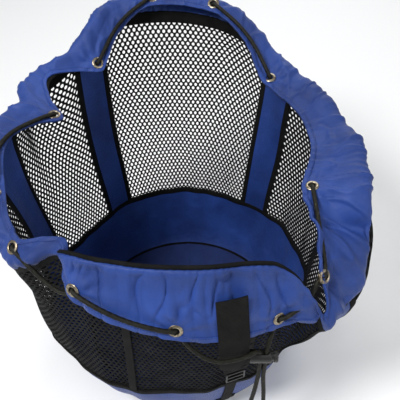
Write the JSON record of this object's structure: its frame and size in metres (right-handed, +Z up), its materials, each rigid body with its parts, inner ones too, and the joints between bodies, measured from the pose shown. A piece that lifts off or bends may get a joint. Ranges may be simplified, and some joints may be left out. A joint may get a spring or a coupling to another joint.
{
  "type": "mesh ball bag",
  "caption": "Open drawstring ball bag: round base, mesh wall with fabric strips, eyeleted collar that flops over the mouth, braided drawcord with a sprung lock, and a shoulder strap.",
  "frame": {"origin": "middle of the round base, on the floor", "axes": "+Z up out of the mouth, the front with the tab and strap faces -Y"},
  "size_m": [0.651, 0.658, 0.6279],
  "materials": {
    "blue_nylon": "plain weave, slight sheen",
    "black_mesh": "open hexagonal knit mesh",
    "black_tape": "ribbed binding tape",
    "black_cord": "braided cord",
    "black_webbing": "woven webbing",
    "badge_print": "printed patch",
    "brass": "plated brass",
    "black_plastic": "moulded acetal",
    "spring_steel": "bright wire"
  },
  "bodies": {
    "bag": {"base_panel": "blue_nylon", "skirt": "blue_nylon", "collar_back": "blue_nylon", "collar_front": "blue_nylon", "base_binding": "black_tape", "skirt_binding": "black_tape", "rim_binding": "black_tape", "front_tape": "black_tape", "badge": "badge_print", "eyelet_flanges": "brass", "eyelet_washers": "brass", "drawcord": "black_cord", "cord_tail_left": "black_cord", "cord_tail_right": "black_cord", "tail_knots": "black_cord", "front_tab": "black_webbing", "strap_webbing": "black_webbing", "shoulder_strap": "black_webbing", "strap_anchor": "black_webbing", "strip_front_right": "blue_nylon", "mesh_right": "black_mesh", "strip_back_right": "blue_nylon", "mesh_back": "black_mesh", "strip_back_left": "blue_nylon", "mesh_left": "black_mesh", "strip_left": "blue_nylon", "mesh_front_left": "black_mesh", "mesh_front": "black_mesh"},
    "cord_lock": {"lock_barrel": "black_plastic", "lock_spring": "spring_steel"},
    "lock_button": {"lock_plunger": "black_plastic"},
    "flap": {"tab_flap": "black_webbing"},
    "adjuster": {"ladder_lock": "black_plastic"}
  },
  "joints": [
    {"name": "lock_slide", "type": "slide", "parent": "bag", "child": "cord_lock", "axis": [0, 0, 1], "range_m": [-0.05, 0]},
    {"name": "button_press", "type": "slide", "parent": "cord_lock", "child": "lock_button", "axis": [-1, 0, 0], "range_m": [0, 0.004], "stiffness_N_per_m": 400},
    {"name": "flap_lift", "type": "hinge", "parent": "bag", "child": "flap", "pos_m": [0.08117, -0.30291, 0.34525], "axis": [-0.9659, -0.2588, 0], "range_deg": [0, 80]},
    {"name": "adjuster_tilt", "type": "hinge", "parent": "bag", "child": "adjuster", "pos_m": [0.09111, -0.25033, 0.211], "axis": [-0.9397, -0.342, 0], "range_deg": [0, 50]}
  ]
}
